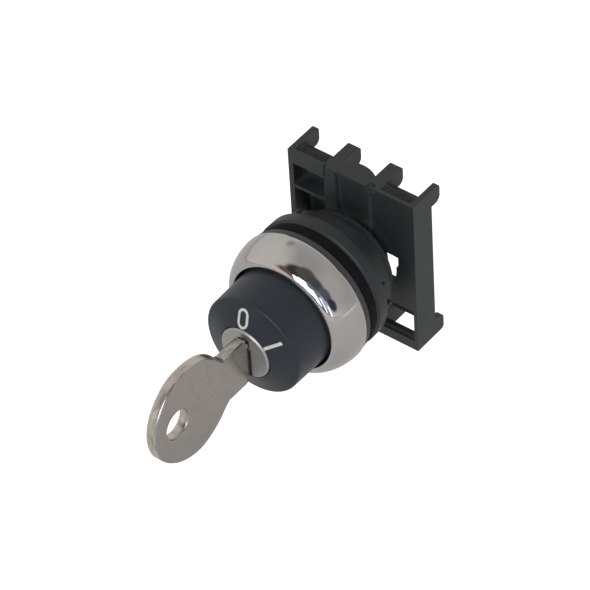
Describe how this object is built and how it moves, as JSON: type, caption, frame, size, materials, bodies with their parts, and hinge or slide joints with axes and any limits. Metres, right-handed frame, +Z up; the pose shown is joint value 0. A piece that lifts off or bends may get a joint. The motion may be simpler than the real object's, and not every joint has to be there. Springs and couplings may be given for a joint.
{
  "type": "selector key switch",
  "caption": "Key-operated two-position selector for a round panel hole, with a removable key, a chromed front ring and a three-bay contact adapter.",
  "frame": {"origin": "on the switch axis, in the plane where the gasket meets the front of the panel", "axes": "+Z up, the key faces -Y, +X to the right seen from the front; Y runs along the switch axis"},
  "size_m": [0.0295, 0.0696, 0.0372],
  "materials": {
    "key_plating": "nickel-plated, satin",
    "lock_face": "nickel-plated, satin",
    "seal_rubber": "matte",
    "spring_steel": "bright spring steel",
    "lock_zinc": "die-cast, satin",
    "cap_plastic": "blue-black, fine satin texture",
    "legend_paint": "off-white print",
    "bezel_chrome": "polished chrome",
    "body_plastic": "black, satin",
    "gasket_rubber": "matte black",
    "nut_plastic": "dark grey, satin",
    "cam_plastic": "natural moulded",
    "fastener_steel": "zinc-plated",
    "plunger_plastic": "red moulded",
    "guide_plastic": "black moulded",
    "adapter_plastic": "black glass-filled, satin",
    "wafer_brass": "stamped"
  },
  "bodies": {
    "housing": {"lock_shell": "lock_zinc", "front_cap": "cap_plastic", "legend_zero": "legend_paint", "legend_one": "legend_paint", "cap_seal": "seal_rubber", "bezel_ring": "bezel_chrome", "actuator_body": "body_plastic", "panel_gasket": "gasket_rubber", "ring_nut": "nut_plastic", "plunger_spring_left": "spring_steel", "plunger_spring_right": "spring_steel", "detent_ball": "fastener_steel", "detent_spring": "spring_steel", "rear_guide": "guide_plastic", "adapter_frame": "adapter_plastic"},
    "rotor": {"lock_plug": "lock_face", "wafer_1": "wafer_brass", "wafer_2": "wafer_brass", "wafer_3": "wafer_brass", "wafer_4": "wafer_brass", "wafer_5": "wafer_brass", "wafer_spring_1": "spring_steel", "wafer_spring_2": "spring_steel", "wafer_spring_3": "spring_steel", "wafer_spring_4": "spring_steel", "wafer_spring_5": "spring_steel", "plug_seal": "seal_rubber", "plug_clip": "spring_steel", "drive_cam": "cam_plastic", "cam_washer": "fastener_steel", "cam_screw": "fastener_steel"},
    "key": {"key": "key_plating"},
    "left_plunger": {"plunger_left": "plunger_plastic"},
    "right_plunger": {"plunger_right": "plunger_plastic"}
  },
  "joints": [
    {"name": "key_turn", "type": "hinge", "parent": "housing", "child": "rotor", "pos_m": [0, 0, 0], "axis": [0, 1, 0], "range_deg": [0, 60]},
    {"name": "key_pull", "type": "slide", "parent": "rotor", "child": "key", "axis": [0, -1, 0], "range_m": [0, 0.022]},
    {"name": "left_plunger_slide", "type": "slide", "parent": "housing", "child": "left_plunger", "axis": [0, 1, 0], "range_m": [0, 0.0035], "deforming": ["plunger_spring_left"]},
    {"name": "right_plunger_slide", "type": "slide", "parent": "housing", "child": "right_plunger", "axis": [0, 1, 0], "range_m": [0, 0.0035], "deforming": ["plunger_spring_right"]}
  ],
  "couplings": [
    {"joint": "left_plunger_slide", "follows": "key_turn", "m_per_rad": 0.0033423},
    {"joint": "right_plunger_slide", "follows": "key_turn", "m_per_rad": 0.0033423}
  ]
}
